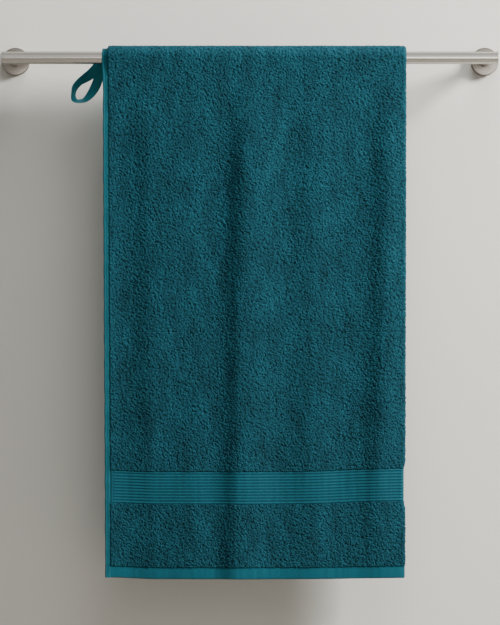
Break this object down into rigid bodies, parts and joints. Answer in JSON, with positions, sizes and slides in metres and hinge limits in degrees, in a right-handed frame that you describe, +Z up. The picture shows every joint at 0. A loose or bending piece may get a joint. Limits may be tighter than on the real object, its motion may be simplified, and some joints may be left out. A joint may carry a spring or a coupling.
{
  "type": "bath towel on a wall rail",
  "caption": "Terry bath towel folded in half along its length and hung over a round wall-mounted towel rail, with a hanging loop at its left edge.",
  "frame": {"origin": "on the wall plane, midway between the two wall flanges, level with the axis of the rail", "axes": "+Z up; +X along the rail, to the right as seen from the room; +Y into the wall"},
  "size_m": [0.646, 0.1023, 0.682],
  "materials": {
    "brushed_stainless": "brushed stainless steel, fine lengthwise grain",
    "zinc_plated": "bright zinc plating",
    "teal_terry": "cotton terry, uncut loops",
    "teal_flat_weave": "flat cotton weave, ribbed in the border",
    "teal_tape": "woven cotton tape"
  },
  "bodies": {
    "wall_mounts": {"wall_bracket_left": "zinc_plated", "wall_bracket_right": "zinc_plated", "wall_screw_left_a": "zinc_plated", "wall_screw_left_b": "zinc_plated", "wall_screw_right_a": "zinc_plated", "wall_screw_right_b": "zinc_plated"},
    "rail": {"rail_tube": "brushed_stainless", "rail_end_cap_left": "brushed_stainless", "rail_end_cap_right": "brushed_stainless", "post_left": "brushed_stainless", "post_right": "brushed_stainless", "flange_left": "brushed_stainless", "flange_right": "brushed_stainless"},
    "grub_left": {"grub_screw_left": "zinc_plated"},
    "grub_right": {"grub_screw_right": "zinc_plated"},
    "towel_saddle": {"terry_saddle": "teal_terry", "side_hem_outer_saddle": "teal_flat_weave", "side_hem_inner_saddle": "teal_flat_weave"},
    "front_drop": {"terry_front": "teal_terry", "border_front": "teal_flat_weave", "terry_end_front": "teal_terry", "end_hem_front": "teal_flat_weave", "side_hem_outer_front": "teal_flat_weave", "side_hem_inner_front": "teal_flat_weave"},
    "back_drop": {"terry_back": "teal_terry", "border_back": "teal_flat_weave", "terry_end_back": "teal_terry", "end_hem_back": "teal_flat_weave", "side_hem_outer_back": "teal_flat_weave", "side_hem_inner_back": "teal_flat_weave"},
    "hanging_loop": {"hanging_loop": "teal_tape"}
  },
  "joints": [
    {"name": "rail_pull_off", "type": "slide", "parent": "wall_mounts", "child": "rail", "axis": [0, -1, 0], "range_m": [0, 0.02]},
    {"name": "grub_left_travel", "type": "slide", "parent": "rail", "child": "grub_left", "axis": [0, 0, -1], "range_m": [0, 0.003]},
    {"name": "grub_right_travel", "type": "slide", "parent": "rail", "child": "grub_right", "axis": [0, 0, -1], "range_m": [0, 0.003]},
    {"name": "towel_slide", "type": "slide", "parent": "rail", "child": "towel_saddle", "axis": [1, 0, 0], "range_m": [-0.045, 0.095]},
    {"name": "front_drop_swing", "type": "hinge", "parent": "towel_saddle", "child": "front_drop", "pos_m": [0, -0.07645, 0], "axis": [-1, 0, 0], "range_deg": [0, 35]},
    {"name": "back_drop_swing", "type": "hinge", "parent": "towel_saddle", "child": "back_drop", "pos_m": [0, -0.05355, 0], "axis": [1, 0, 0], "range_deg": [0, 4]},
    {"name": "loop_swing", "type": "hinge", "parent": "towel_saddle", "child": "hanging_loop", "pos_m": [-0.191, -0.0515, -0.009], "axis": [0, 1, 0], "range_deg": [0, 55]}
  ]
}
